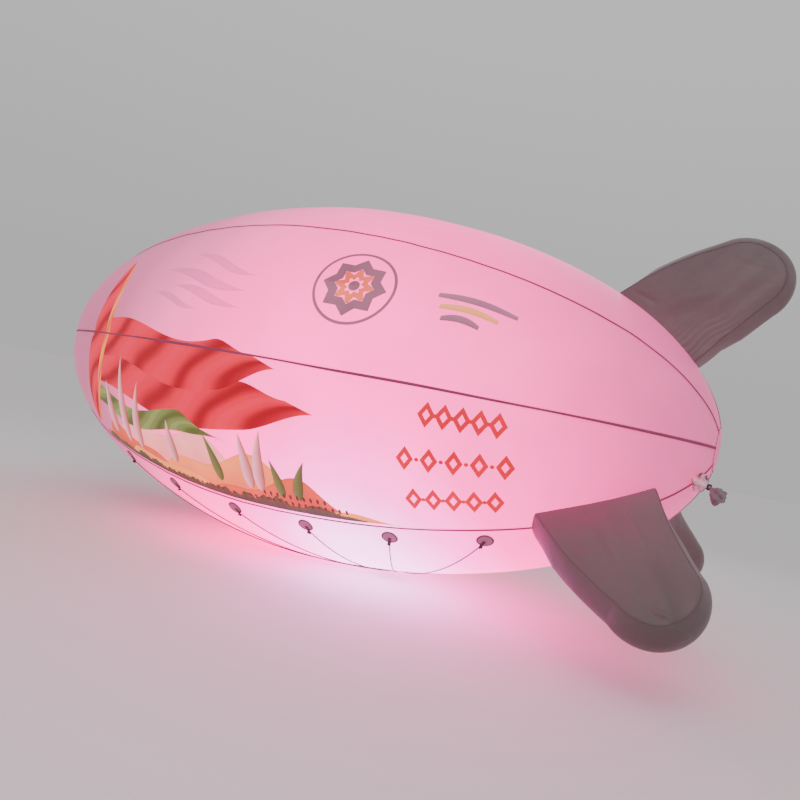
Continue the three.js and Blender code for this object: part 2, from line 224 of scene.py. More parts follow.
def standing(foot, way):
    """The place of a body whose own Z axis points along a way."""
    turn = Vector((0, 0, 1)).rotation_difference(way)
    return Matrix.Translation(foot) @ turn.to_matrix().to_4x4()


def mesh_of(name, work):
    mesh = bpy.data.meshes.new(name)
    work.to_mesh(mesh)
    work.free()
    return mesh


def in_scene(name, data):
    thing = bpy.data.objects.new(name, data)
    scene.collection.objects.link(thing)
    return thing


def as_modified(thing):
    """The mesh that an object's modifiers make. The object is removed."""
    mesh = bpy.data.meshes.new_from_object(thing.evaluated_get(bpy.context.evaluated_depsgraph_get()))
    bpy.data.objects.remove(thing)
    return mesh


def piece(name, work, finish, stands_for=(), wall=0.0, levels=0, outside=-1):
    mesh = mesh_of(name, work)
    for polygon in mesh.polygons:
        polygon.use_smooth = True
    mesh.materials.append(finish)
    thing = in_scene(name, mesh)
    if levels:
        rounding = thing.modifiers.new("rounding", "SUBSURF")
        rounding.levels = levels
        rounding.render_levels = levels
    if wall:
        cloth = thing.modifiers.new("wall", "SOLIDIFY")
        cloth.thickness = wall
        cloth.offset = outside
    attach(thing, "root")
    if stands_for:
        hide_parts(*stands_for)
    return thing


# Finishes


def new_finish(name, roughness, sheen=0.0, shine=0.5):
    finish = bpy.data.materials.new(name)
    finish.use_nodes = True
    tree = finish.node_tree
    shader = tree.nodes["Principled BSDF"]
    set_up(tree, shader, Roughness=roughness, Sheen_Weight=sheen, Specular_IOR_Level=shine)
    return finish, tree, shader


def feed(tree, socket, value):
    """Links an output to an input, or sets it to a plain value."""
    if isinstance(value, bpy.types.NodeSocket):
        tree.links.new(value, socket)
    else:
        socket.default_value = value


def set_up(tree, made, **inputs):
    """Feeds the inputs of a node by name, with _ for a space."""
    for name, value in inputs.items():
        feed(tree, made.inputs[name.replace("_", " ")], value)
    return made


def node(tree, kind, **inputs):
    return set_up(tree, tree.nodes.new(kind), **inputs)


def own_place(tree, kind="Object"):
    return node(tree, "ShaderNodeTexCoord").outputs[kind]


def one_axis(tree, kind, axis):
    return node(tree, "ShaderNodeSeparateXYZ", Vector=own_place(tree, kind)).outputs[axis]


def maths(tree, operation, output, *values):
    made = node(tree, "ShaderNodeVectorMath")
    made.operation = operation
    for socket, value in zip(made.inputs, values):
        feed(tree, socket, value)
    return made.outputs[output]


def multiplied(tree, first, second):
    return maths(tree, "MULTIPLY", "Vector", first, second)


def cloud(tree, scale, detail=3.0, stretch=(1, 1, 1)):
    """Noise over the object's own coordinates, from 0 to 1."""
    place = node(tree, "ShaderNodeMapping", Vector=own_place(tree), Scale=stretch).outputs["Vector"]
    return node(tree, "ShaderNodeTexNoise", Vector=place, Scale=scale, Detail=detail).outputs["Fac"]


def ramp(tree, share, stops):
    """A colour ramp through (place, colour) stops."""
    made = node(tree, "ShaderNodeValToRGB", Fac=share)
    bar = made.color_ramp.elements
    while len(bar) < len(stops):
        bar.new(0.5)
    for element, (place, colour) in zip(bar, stops):
        element.position = place
        element.color = (*colour, 1)
    return made.outputs["Color"]


def mottled(tree, scale, detail, dark, pale, low=0.3, high=0.7):
    return ramp(tree, cloud(tree, scale, detail), [(low, dark), (high, pale)])


def paint(tree, shader, tint, light=0.0):
    """Colours a finish, which also gives off light of that colour."""
    set_up(tree, shader, Base_Color=tint)
    if light:
        set_up(tree, shader, Emission_Color=tint, Emission_Strength=light)


def bumps(tree, shader, *layers):
    """Bumps in a chain, from (height socket, strength, depth in metres) rows."""
    normal = None
    for height, strength, depth in layers:
        bump = node(tree, "ShaderNodeBump", Height=height, Strength=strength, Distance=depth)
        if normal:
            set_up(tree, bump, Normal=normal)
        normal = bump.outputs["Normal"]
    set_up(tree, shader, Normal=normal)


def fine_weave(tree):
    return [(cloud(tree, 900.0, 2.0), 0.15, 0.0006)]


def tape_weave(tree):
    return [(cloud(tree, 120.0), 0.3, 0.001)]


def folded_weave(tree):
    return [(cloud(tree, 7.0, 2.0, (0.5, 1, 1)), 0.3, 0.012), *fine_weave(tree)]


# The cloth passes on light from inside the envelope: strongest low at the middle, weak at the ends.
GLOW_PLACE = (-0.7, 0.4, -1.0)
BRIGHTEST_PLACE = (-0.84, 0.38, -1.08)
GLOW_SQUASH = (1.0, 0.8, 0.75)
GLOW_REACH = 2.6
GLOW_PEAK = 4.6
GLOW_LEVELS = [(0.0, 1.0), (0.38, 0.92), (0.5, 0.75), (0.62, 0.52), (0.73, 0.3), (0.85, 0.15), (1.0, 0.1)]
GLOW_TINTS = [
    (0.0, (0.9, 0.6, 1.0)),
    (0.13, (0.98, 0.42, 0.95)),
    (0.26, (1.0, 0.11, 0.57)),
    (0.38, (1.0, 0.03, 0.33)),
    (0.62, (1.0, 0.04, 0.31)),
    (0.73, (1.0, 0.09, 0.36)),
    (0.85, (1.0, 0.17, 0.43)),
    (1.0, (1.0, 0.22, 0.47)),
]


def nearness(tree, middle):
    """The squashed distance from a place inside the envelope, as a share of the glow's reach."""
    from_middle = maths(tree, "SUBTRACT", "Vector", own_place(tree), middle)
    away = maths(tree, "LENGTH", "Value", multiplied(tree, from_middle, GLOW_SQUASH))
    return node(tree, "ShaderNodeMapRange", Value=away, From_Max=GLOW_REACH).outputs["Result"]


def glow(tree, shader, filter_tint):
    """Light from inside, passed on through a tinted layer."""
    levels = [(place, (part, part, part)) for place, part in GLOW_LEVELS]
    level = ramp(tree, nearness(tree, GLOW_PLACE), levels)
    tint = multiplied(tree, ramp(tree, nearness(tree, BRIGHTEST_PLACE), GLOW_TINTS), level)
    light = multiplied(tree, tint, filter_tint)
    set_up(tree, shader, Emission_Color=light, Emission_Strength=GLOW_PEAK)


def lit_finish(name, roughness, sheen, clouds, colours, filter_tint, weave):
    """Cloth or thin ink that passes on the light from inside."""
    finish, tree, shader = new_finish(name, roughness, sheen)
    paint(tree, shader, mottled(tree, *clouds, *colours))
    glow(tree, shader, filter_tint or mottled(tree, 2.2, 5.0, (0.9, 0.86, 0.9), (1, 1, 1), high=0.62))
    bumps(tree, shader, *weave(tree))
    return finish


def weld_finish():
    """The dark line where the cloth is welded, several layers thick."""
    finish, tree, shader = new_finish("seam_weld_cloth", 0.55, 0.0, 0.15)
    paint(tree, shader, mottled(tree, 9.0, 4.0, (0.19, 0.05, 0.085), (0.26, 0.075, 0.115)))
    set_up(tree, shader, Emission_Color=(0.9, 0.1, 0.33, 1), Emission_Strength=0.13)
    bumps(tree, shader, *tape_weave(tree))
    return finish


def fin_finish_painted_light():
    """The fins' cloth, in a dark tone that is painted shade, paler near the envelope as a painted glow from
    it and darker towards the tips as painted shade.
    """
    finish, tree, shader = new_finish("fin_cloth_painted_light", 0.5, 0.1)
    from_axis = multiplied(tree, own_place(tree), (0, 1, 1))
    place = maths(tree, "LENGTH", "Value", from_axis)
    out = node(tree, "ShaderNodeMapRange", Value=place, From_Min=0.4, From_Max=1.45)
    # Painted light: the tone falls from the root, painted pale with the envelope's glow, to the tip, painted
    # dark as shade.
    tint = ramp(tree, out.outputs["Result"], [
        (0.0, (0.26, 0.16, 0.18)),
        (0.45, (0.175, 0.113, 0.125)),
        (1.0, (0.115, 0.08, 0.084)),
    ])
    mottle = mottled(tree, 1.8, 5.0, (0.88, 0.86, 0.88), (1.05, 1.05, 1.05), high=0.65)
    paint(tree, shader, multiplied(tree, tint, mottle))
    bumps(tree, shader, (cloud(tree, 8.0, 3.0), 0.5, 0.014), *fine_weave(tree))
    return finish


def plain_cloth(name, colour, roughness=0.6, weave=600.0):
    finish, tree, shader = new_finish(name, roughness, 0.2)
    darker = tuple(0.8 * part for part in colour)
    paint(tree, shader, mottled(tree, 14.0, 4.0, darker, colour))
    bumps(tree, shader, (cloud(tree, weave, 2.0), 0.4, 0.0008))
    return finish


def patch_finish():
    """Grey net cloth with a darker welded rim, along the piece's own u from its middle."""
    finish, tree, shader = new_finish("patch_net", 0.7, 0.1)
    tint = ramp(tree, one_axis(tree, "UV", "X"), [
        (0.0, (0.33, 0.15, 0.22)),
        (0.74, (0.36, 0.17, 0.24)),
        (0.82, (0.12, 0.05, 0.08)),
        (1.0, (0.16, 0.07, 0.11)),
    ])
    paint(tree, shader, tint, 0.15)
    net = node(tree, "ShaderNodeTexVoronoi", Vector=own_place(tree), Scale=260.0)
    bumps(tree, shader, (net.outputs["Distance"], 0.6, 0.0015))
    return finish


def sleeve_finish_painted_light():
    """Gathered cloth, with a painted highlight pale on its folds and painted shade dark between them."""
    finish, tree, shader = new_finish("sleeve_cloth_painted_light", 0.5, 0.1)
    folds = cloud(tree, 26.0, 2.0)
    # The pale stops are painted highlight on the folds and the dark stop is painted shade between them.
    tint = ramp(tree, folds, [
        (0.36, (0.2, 0.06, 0.1)),
        (0.46, (0.62, 0.3, 0.38)),
        (0.58, (0.88, 0.58, 0.66)),
    ])
    paint(tree, shader, tint, 0.12)
    bumps(tree, shader, (folds, 0.8, 0.006), (cloud(tree, 600.0, 2.0), 0.3, 0.0008))
    return finish


def metal_finish():
    finish, tree, shader = new_finish("galvanised_ring", 0.42)
    set_up(tree, shader, Metallic=1.0)
    paint(tree, shader, mottled(tree, 160.0, 3.0, (0.42, 0.42, 0.43), (0.6, 0.6, 0.61)))
    bumps(tree, shader, (cloud(tree, 500.0), 0.2, 0.0004))
    return finish


def silk_finish(name, deep, bright, light):
    """Printed silk with broad soft folds that run along the ribbon."""
    finish, tree, shader = new_finish(name, 0.5, 0.0, 0.25)
    flat = own_place(tree, "UV")
    place = node(tree, "ShaderNodeMapping", Vector=flat, Scale=(1.0, 0.42, 1.0), Rotation=(0, 0, 0.5))
    wave = {"Scale": 1.25, "Distortion": 5.0, "Detail": 1.2, "Detail_Scale": 1.3}
    folds = node(tree, "ShaderNodeTexWave", Vector=place.outputs["Vector"], **wave)
    middle = tuple(0.5 * (dark + pale) for dark, pale in zip(deep, bright))
    lit = tuple(min(1.0, 1.35 * part) for part in bright)
    stops = [(0.0, deep), (0.22, middle), (0.5, bright), (0.82, bright), (0.93, lit), (1.0, lit)]
    paint(tree, shader, ramp(tree, folds.outputs["Fac"], stops), light)
    bumps(tree, shader, *fine_weave(tree))
    return finish


def print_finish(name, foot, top, light):
    """Flat ink, shaded from the lower edge of the motif to its upper edge."""
    finish, tree, shader = new_finish(name, 0.5, 0.0, 0.25)
    tint = ramp(tree, one_axis(tree, "UV", "Y"), [(0.0, foot), (0.85, top), (1.0, top)])
    mottle = mottled(tree, 5.0, 5.0, (0.88, 0.86, 0.88), (1, 1, 1), 0.35, 0.62)
    paint(tree, shader, multiplied(tree, tint, mottle), light)
    bumps(tree, shader, *fine_weave(tree))
    return finish


ENVELOPE_COLOURS = ((0.62, 0.095, 0.24), (0.7, 0.12, 0.28))
TAPE_COLOURS = ((0.6, 0.1, 0.25), (0.66, 0.12, 0.28))
WASH_COLOURS = ((0.5, 0.09, 0.21), (0.58, 0.11, 0.25))
TAPE_FILTER = (0.9, 0.88, 0.9)
WASH_FILTER = (0.7, 0.95, 0.76)

envelope_cloth = lit_finish("envelope_cloth", 0.45, 0.05, (0.9, 4.0), ENVELOPE_COLOURS, None, folded_weave)
tape_cloth = lit_finish("seam_tape_cloth", 0.5, 0.05, (3.0, 4.0), TAPE_COLOURS, TAPE_FILTER, tape_weave)
weld_cloth = weld_finish()
fin_cloth_painted_light = fin_finish_painted_light()
fin_seam_cloth = plain_cloth("fin_seam_tape", (0.125, 0.068, 0.085))
patch_net = patch_finish()
webbing = plain_cloth("tab_webbing", (0.11, 0.055, 0.075), 0.8)
line_cord = plain_cloth("bridle_cord", (0.045, 0.025, 0.033), 0.75, 300.0)
sleeve_cloth_painted_light = sleeve_finish_painted_light()
slack_cloth = plain_cloth("slack_cloth", (0.24, 0.18, 0.205), 0.45)
ring_metal = metal_finish()

# Columns: name, deep and bright colour, light.
SILKS = [
    ("red_silk", (0.42, 0.002, 0.014), (0.94, 0.007, 0.05), 0.58),
    ("green_silk", (0.11, 0.13, 0.03), (0.2, 0.25, 0.07), 0.6),
    ("amber_silk", (0.8, 0.1, 0.03), (0.95, 0.26, 0.06), 0.7),
]
# Columns: name, colour at the foot and at the top, light.
FLAT_INKS = [
    ("terracotta", (0.62, 0.05, 0.03), (0.9, 0.12, 0.06), 0.8),
    ("sand", (0.75, 0.12, 0.05), (1.0, 0.26, 0.09), 1.2),
    ("blush", (0.9, 0.16, 0.14), (1.0, 0.28, 0.3), 1.5),
    ("amber", (0.85, 0.2, 0.05), (0.98, 0.34, 0.09), 1.1),
    ("pale_leaf", (0.42, 0.07, 0.05), (0.98, 0.4, 0.5), 1.0),
    ("leaf_green", (0.1, 0.12, 0.03), (0.2, 0.24, 0.07), 0.6),
    ("bead_brown", (0.16, 0.03, 0.03), (0.2, 0.045, 0.04), 0.5),
    ("hedge", (0.06, 0.05, 0.028), (0.13, 0.12, 0.055), 0.6),
    ("lozenge_red", (0.9, 0.008, 0.035), (0.9, 0.008, 0.035), 0.65),
    ("bar_grey", (0.36, 0.12, 0.2), (0.42, 0.15, 0.25), 0.75),
    ("bar_gold", (0.9, 0.3, 0.12), (0.95, 0.34, 0.14), 1.0),
    ("rosette_grey", (0.3, 0.1, 0.16), (0.36, 0.13, 0.2), 0.7),
    ("rosette_tan", (0.9, 0.11, 0.07), (0.95, 0.18, 0.1), 0.9),
]
INKS = {name: silk_finish(f"print_{name}", *looks) for name, *looks in SILKS}
INKS |= {name: print_finish(f"print_{name}", *looks) for name, *looks in FLAT_INKS}
INKS["wind_grey"] = lit_finish(
    "print_faint_wash", 0.5, 0.03, (6.0, 4.0), WASH_COLOURS, WASH_FILTER, fine_weave
)


# Camera


CAMERA_PLACE = Vector((-3.0554, 4.6097, -0.227))
CAMERA_WAY = Vector((0.47567, -0.879, 0.03306))
CAMERA_UP = Vector((0.15969, 0.12325, 0.97944))
CAMERA_LENS = 30.82


def set_camera():
    lens = bpy.data.cameras.new("camera")
    lens.lens = CAMERA_LENS
    lens.sensor_width = 36
    camera = in_scene("camera", lens)
    turn = axes(CAMERA_WAY.cross(CAMERA_UP), CAMERA_UP, -CAMERA_WAY)
    camera.matrix_world = Matrix.Translation(CAMERA_PLACE) @ turn
    scene.camera = camera


set_camera()


# Envelope: gores, seam tapes and end discs


# Each is 45 degrees further round than the one before it.
GORES = (
    "port_upper_side port_top starboard_top starboard_upper_side "
    "starboard_lower_side starboard_bottom port_bottom port_lower_side"
).split()
GORE_COLUMNS = 170
GORE_ROWS = 44


def station(share, pole=POLE_RADIUS):
    """A place along the hull, closer together towards the ends."""
    return -x_at_radius(pole) * cos(pi * share)


def gore(number, name):
    first = radians(45 * number)

    def place(u, v):
        return skin_point(station(u), first + v * GORE_ANGLE)

    work = wrapped(GORE_COLUMNS, GORE_ROWS, place)
    piece(f"{name}_panel", work, envelope_cloth, [f"gore_{name}"], WALL)


for gore_row in enumerate(GORES):
    gore(*gore_row)


# Columns: name, angle in degrees, half width of the weld line.
TAPES = [
    ("port", 0, 0.0072),
    ("port_upper", 45, 0.0045),
    ("top", 90, 0.0045),
    ("starboard_upper", 135, 0.0045),
    ("starboard", 180, 0.0072),
    ("starboard_lower", 225, 0.0048),
    ("keel", 270, 0.0048),
    ("port_lower", 315, 0.0048),
]
TAPE_WIDTH = 0.036
TAPE_COLUMNS = 260
TAPE_ROWS = 8
TAPE_POLE_RADIUS = 0.1
TAPE_LIFT = 0.0014
TAPE_EDGE_LIFT = 0.0004
TAPE_WALL = 0.001
WELD_COLUMNS = 420
WELD_POLE_RADIUS = 0.13
WELD_LIFT = 0.0054
WELD_FOOT = 0.0005
WELD_WANDER = 0.003


def tape_height(share):
    return TAPE_LIFT * (1 - share**4) + TAPE_EDGE_LIFT


def tape_rise(x, angle):
    """How far the seam tapes lift what lies over them."""
    turn = angle / GORE_ANGLE
    share = abs(turn - round(turn)) * GORE_ANGLE * hull_radius(x) / (TAPE_WIDTH / 2)
    return tape_height(share) if share < 1 else 0.0


def seam_tape(name, degrees, weld_half_width):
    angle = radians(degrees)

    def place(u, v):
        x = station(u, TAPE_POLE_RADIUS)
        off = (v - 0.5) * TAPE_WIDTH / hull_radius(x)
        return skin_point(x, angle + off, tape_height(2 * v - 1))

    def weld_place(u, v):
        x = station(u, WELD_POLE_RADIUS)
        # The weld line's width swings along the seam by noise: its wider stretches are painted shadow of the
        # tape folding over, the rest is the dark weld itself.
        swing = noise_at(x * 1.3, degrees, 0.0)
        half = weld_half_width * (1 + 0.5 * swing)
        wander = WELD_WANDER * noise_at(x * 2, degrees, 5.0)
        off = ((2 * v - 1) * half + wander) / hull_radius(x)
        return skin_point(x, angle + off, WELD_LIFT)

    work = wrapped(TAPE_COLUMNS, TAPE_ROWS, place)
    piece(f"{name}_seam_tape", work, tape_cloth, [f"seam_tape_{name}"], TAPE_WALL)
    weld = wrapped(WELD_COLUMNS, 2, weld_place)
    piece(f"{name}_seam_weld", weld, weld_cloth, (), WELD_LIFT - WELD_FOOT)


for tape_row in TAPES:
    seam_tape(*tape_row)


CAP_RADIUS = 0.15
CAP_RINGS = 14
CAP_LIFT = 0.0035
CAP_MIDDLE = 0.004
CAP_STEPS = 64
# How far the two rings of the turned-in rim lie from the outer ring: outward, towards the pole.
CAP_RIM = [(0.001, -0.004), (-0.012, -0.006)]
CAP_WELD_WIDTH = 0.005
CAP_WELD_LIFT = 0.005
CAP_WELD_STEPS = 96


def end_disc(name, side):
    profile = [(0.0, HULL_HALF + CAP_MIDDLE)]
    for ring in range(1, CAP_RINGS + 1):
        radius = CAP_RADIUS * ring / CAP_RINGS
        along, out = hull_normal(x_at_radius(radius))
        profile.append((radius + out * CAP_LIFT, x_at_radius(radius) + along * CAP_LIFT))
    rim = profile[-1]
    profile += [(rim[0] + out, rim[1] + along) for out, along in CAP_RIM]
    profile.append((0.0, HULL_HALF - CAP_MIDDLE))
    work = turned(profile, CAP_STEPS, standing(Vector((0, 0, 0)), Vector((side, 0, 0))))
    piece(f"{name}_end_disc", work, tape_cloth, [f"{name}_cap"])

    def weld_place(u, v):
        x = side * x_at_radius(CAP_RADIUS - CAP_WELD_WIDTH * (1 + v))
        return hull_point(x, FULL_TURN * u, CAP_WELD_LIFT)

    weld = wrapped(CAP_WELD_STEPS, 2, weld_place, closed=True)
    piece(f"{name}_end_disc_weld", weld, weld_cloth, (), TAPE_WALL)


end_disc("nose", 1)
end_disc("tail", -1)


# Tail fins


FIN_HALF = 0.12
FIN_TIP_RADIUS = 0.227
FIN_RIM_BULGE = 0.06
FIN_ROOT_BULGE = 0.022
FIN_BULGE = 0.04
FIN_HIDDEN = 0.15
FIN_FULL_AT = (0.3, 0.6)
FIN_ROOT_SWELL = 0.35
# How far in from the edge the swell, the rim, the bow and the drawn tip reach.
FIN_SWELL_REACH = 0.3
FIN_RIM_REACH = 0.05
FIN_BOW_REACH = 0.35
FIN_TIP_REACH = 0.2
# Columns: name, angle in degrees, front and back of the root behind the middle, centre of the round
# tip, panels, how far the front and back edges bow out, how far the tip is drawn out, share of the
# gathers at the root.
FINS = [
    ("fin_top", 90, 2.06, 2.585, (2.77, 1.065), ("starboard", "port"), (0.034, 0.0), -0.02, 1.0),
    ("fin_port", 315, 1.975, 2.545, (2.67, 1.185), ("lower", "upper"), (0.03, -0.014), 0.016, 0.25),
    ("fin_starboard", 225, 1.975, 2.545, (2.52, 1.09), ("upper", "lower"), (0.026, -0.014), 0.0, 0.5),
]
TIP_DRAWN_WAY = Vector((0.3, 0.954))


def fin_edge(root_place, tip, turn):
    """The root point of a straight edge and its outward normal, in the fin's own plane."""
    root = Vector((root_place, hull_radius(root_place)))
    way = tip - root
    sine = FIN_TIP_RADIUS / way.length
    way.normalize()
    across = Vector((-way.y, way.x)) * turn
    return root, across * sqrt(1 - sine * sine) - way * sine


def fin_outline(edges, tip, steps):
    """The seam line of a broad panel: root front, round tip, root back."""
    (root_front, normal_front), (root_back, normal_back) = edges
    first = atan2(normal_front.y, normal_front.x)
    last = atan2(normal_back.y, normal_back.x)
    last -= FULL_TURN if last > first else 0
    points = [root_front]
    for step in range(steps + 1):
        angle = first + (last - first) * step / steps
        points.append(tip + FIN_TIP_RADIUS * Vector((cos(angle), sin(angle))))
    return [*points, root_back]


def fin_shape(flat, height, edges, tip, bows, drawn):
    """Where a point of the flat-sided fin goes once it is filled: edges bow, rim and sides bulge.

    The order of each product is kept: the cloth run turns a change in rounding into millimetres.
    """
    (root_front, normal_front), (root_back, normal_back) = edges
    from_tip = flat - tip
    inside_front = (root_front - flat).dot(normal_front)
    inside_back = (root_back - flat).dot(normal_back)
    way_front = Vector((normal_front.y, -normal_front.x))
    way_back = Vector((-normal_back.y, normal_back.x))
    if from_tip.dot(way_front) > 0 and from_tip.dot(way_back) > 0:
        inside = FIN_TIP_RADIUS - from_tip.length
        out = from_tip.normalized()
    elif inside_front < inside_back:
        inside, out = inside_front, normal_front
    else:
        inside, out = inside_back, normal_back
    above = flat.y - hull_radius(flat.x) if flat.x < HULL_HALF else flat.y
    full_at = between(FIN_FULL_AT, eased(-0.1, 0.1, inside_front - inside_back))
    full = eased(0.0, full_at, above)
    rim = between((FIN_ROOT_BULGE, FIN_RIM_BULGE), full)
    share = min(abs(height) / FIN_HALF, 1)
    depth = min(max(inside, 0) / FIN_SWELL_REACH, 1)
    swell = FIN_BULGE * (1 - (1 - depth) ** 2) * (FIN_ROOT_SWELL + (1 - FIN_ROOT_SWELL) * full)
    moved = flat + out * rim * (1 - share * share) * (1 - eased(0.0, FIN_RIM_REACH, inside))
    for (root, normal), way, bow, reach in (
        (edges[0], way_front, bows[0], inside_front),
        (edges[1], way_back, bows[1], inside_back),
    ):
        along = (flat - root).dot(way) / (tip - root).dot(way)
        if 0 < along < 1:
            moved += normal * bow * sin(pi * along) * (1 - eased(0.0, FIN_BOW_REACH, reach))
    if inside < FIN_TIP_RADIUS and from_tip.length > 0.05:
        fade = 1 - eased(0.0, FIN_TIP_REACH, inside)
        moved += out * drawn * max(out.dot(TIP_DRAWN_WAY), 0) ** 3 * fade
    return moved, height + copysign(swell, height) * share


def fin_point(angle, flat, height):
    cosine, sine = cos(angle), sin(angle)
    return Vector((-flat.x, flat.y * cosine - height * sine, flat.y * sine + height * cosine))


FIN_VOXEL = 0.013
FIN_CORE_STEPS = 24
FIN_FRAMES = 16
FIN_PRESSURE = 4.0
FIN_SHRINK = -0.012
FIN_HELD_BELOW = 0.01
FIN_CUT_BELOW = -0.03
FIN_CAP = 0.014
FIN_SOFT_AT = 0.36
FIN_SEAM_RADIUS = 0.002
FIN_SEAM_STEPS = 40
FIN_SEAM_LENGTH = 0.02
FIN_SEAM_LIFT = 0.0004


def fin_core(angle, edges, tip, bows, drawn):
    """The closed fin from the outline of its panels, remeshed and swelled to its filled shape."""
    outline = fin_outline(edges, tip, FIN_CORE_STEPS)
    normal_front, normal_back = edges[0][1], edges[1][1]
    inward_front = Vector((-normal_front.y, normal_front.x)) * FIN_HIDDEN
    inward_back = Vector((normal_back.y, -normal_back.x)) * FIN_HIDDEN
    corners = [outline[0] + inward_front, *outline, outline[-1] + inward_back]
    work = bmesh.new()
    verts = [work.verts.new((corner.x, corner.y, -FIN_HALF)) for corner in corners]
    face = work.faces.new(verts)
    grown = ops.extrude_face_region(work, geom=[face])["geom"]
    top = [item for item in grown if isinstance(item, bmesh.types.BMVert)]
    ops.translate(work, vec=(0, 0, 2 * FIN_HALF), verts=top)
    faced_out(work)
    core = in_scene("fin_core", mesh_of("fin_core", work))
    remesh = core.modifiers.new("even", "REMESH")
    remesh.mode = "VOXEL"
    remesh.voxel_size = FIN_VOXEL
    shaped = as_modified(core)
    for vert in shaped.vertices:
        flat, height = fin_shape(Vector(vert.co.xy), vert.co.z, edges, tip, bows, drawn)
        vert.co = fin_point(angle, flat, height)
    return shaped


def filled_with_air(mesh):
    """A short cloth run under pressure, with its root held, so that the fin has its own soft folds."""
    start = [vert.co.copy() for vert in mesh.vertices]
    body = in_scene("fin_filling", mesh)
    held = body.vertex_groups.new(name="held")
    rooted = [vert.index for vert in mesh.vertices if above_hull(vert.co) < FIN_HELD_BELOW]
    held.add(rooted, 1.0, "REPLACE")
    cloth = body.modifiers.new("air", "CLOTH")
    cloth.settings.vertex_group_mass = "held"
    cloth.settings.use_pressure = True
    cloth.settings.uniform_pressure_force = FIN_PRESSURE
    cloth.settings.effector_weights.gravity = 0
    cloth.settings.shrink_min = FIN_SHRINK
    cloth.point_cache.frame_start = 1
    cloth.point_cache.frame_end = FIN_FRAMES
    for step in range(1, FIN_FRAMES + 1):
        scene.frame_set(step)
    blown = as_modified(body)
    scene.frame_set(1)
    for vert, before in zip(blown.vertices, start):
        move = vert.co - before
        soft = eased(0.0, FIN_SOFT_AT, above_hull(before))
        share = min(1, FIN_CAP / max(move.length, FIN_CAP)) * soft
        vert.co = before + move * share
    return blown


GATHER_LENGTH = 0.034
GATHER_DEPTH = 0.0045
GATHER_REACH = 0.24
SOFT_FOLD_DEPTH = 0.012
SOFT_FOLD_SIZE = (0.1, 0.5)


def from_back_edge(flat, back_edge):
    """How far a place is along the back edge from its root, and in from that edge."""
    root, normal = back_edge
    return (flat - root).dot(Vector((-normal.y, normal.x))), (root - flat).dot(normal)


def root_gathers(flat, height, back_edge):
    """Fine pleats that run out from the back half of the root, and fainter ones from its front."""
    along, across = from_back_edge(flat, back_edge)
    wander = 1.6 * noise_at(across / 0.12, along / 0.2, copysign(3.0, height))
    wave = sin(FULL_TURN * across / GATHER_LENGTH + 4 * wander) * (0.6 + 0.8 * wander)
    near_back = 1 - eased(0.1, 0.26, across)
    fade = exp(-((max(along, 0) / GATHER_REACH) ** 2))
    return GATHER_DEPTH * wave * fade * (0.12 + 0.88 * near_back)


def soft_folds(flat, height, back_edge):
    """Long shallow folds that run from the root towards the tip."""
    along, across = from_back_edge(flat, back_edge)
    fold = noise_at(across / SOFT_FOLD_SIZE[0], along / SOFT_FOLD_SIZE[1], copysign(7.0, height))
    on_panel = eased(0.5, 1.0, abs(height) / FIN_HALF)
    return SOFT_FOLD_DEPTH * fold * eased(0.0, 0.12, along) * on_panel


# Creases of each filled fin. Columns: side of the fin, start and end as place along and distance from
# the axis, depth, half width.
CREASES = {
    "fin_port": [
        (1, (2.26, 0.91), (2.47, 1.15), 0.008, 0.012),
        (1, (2.44, 0.79), (2.58, 0.97), 0.009, 0.012),
        (1, (2.7, 1.35), (2.8, 1.36), 0.01, 0.014),
        (1, (2.74, 1.42), (2.87, 1.38), 0.012, 0.018),
        (-1, (2.2, 0.95), (2.34, 1.1), 0.006, 0.014),
        (-1, (2.64, 1.32), (2.78, 1.33), 0.006, 0.014),
    ],
    "fin_top": [
        (1, (2.16, 0.9), (2.3, 0.84), -0.006, 0.016),
        (1, (2.14, 0.93), (2.27, 0.93), -0.005, 0.014),
        (1, (2.7, 1.2), (2.88, 1.16), 0.005, 0.02),
        (-1, (2.16, 0.9), (2.3, 0.84), -0.006, 0.016),
        (-1, (2.72, 1.18), (2.9, 1.12), 0.005, 0.02),
    ],
    "fin_starboard": [
        (-1, (2.2, 0.85), (2.3, 1.0), 0.006, 0.012),
        (-1, (2.5, 1.2), (2.64, 1.18), 0.007, 0.016),
        (1, (2.22, 0.9), (2.34, 1.04), 0.006, 0.014),
        (1, (2.46, 1.22), (2.6, 1.22), 0.006, 0.016),
    ],
}
CREASE_OFF_MIDDLE = 0.02


def creases(name, flat, height):
    """How far the creases of a fin pull its skin in."""
    depth = 0.0
    for side, start, end, pull, half_width in CREASES[name]:
        if side * height < CREASE_OFF_MIDDLE:
            continue
        first, last = Vector(start), Vector(end)
        span = last - first
        share = min(max((flat - first).dot(span) / span.length_squared, 0), 1)
        away = (flat - first - span * share).length
        depth += pull * exp(-((away / half_width) ** 2)) * (0.4 + 0.6 * sin(pi * share))
    return depth


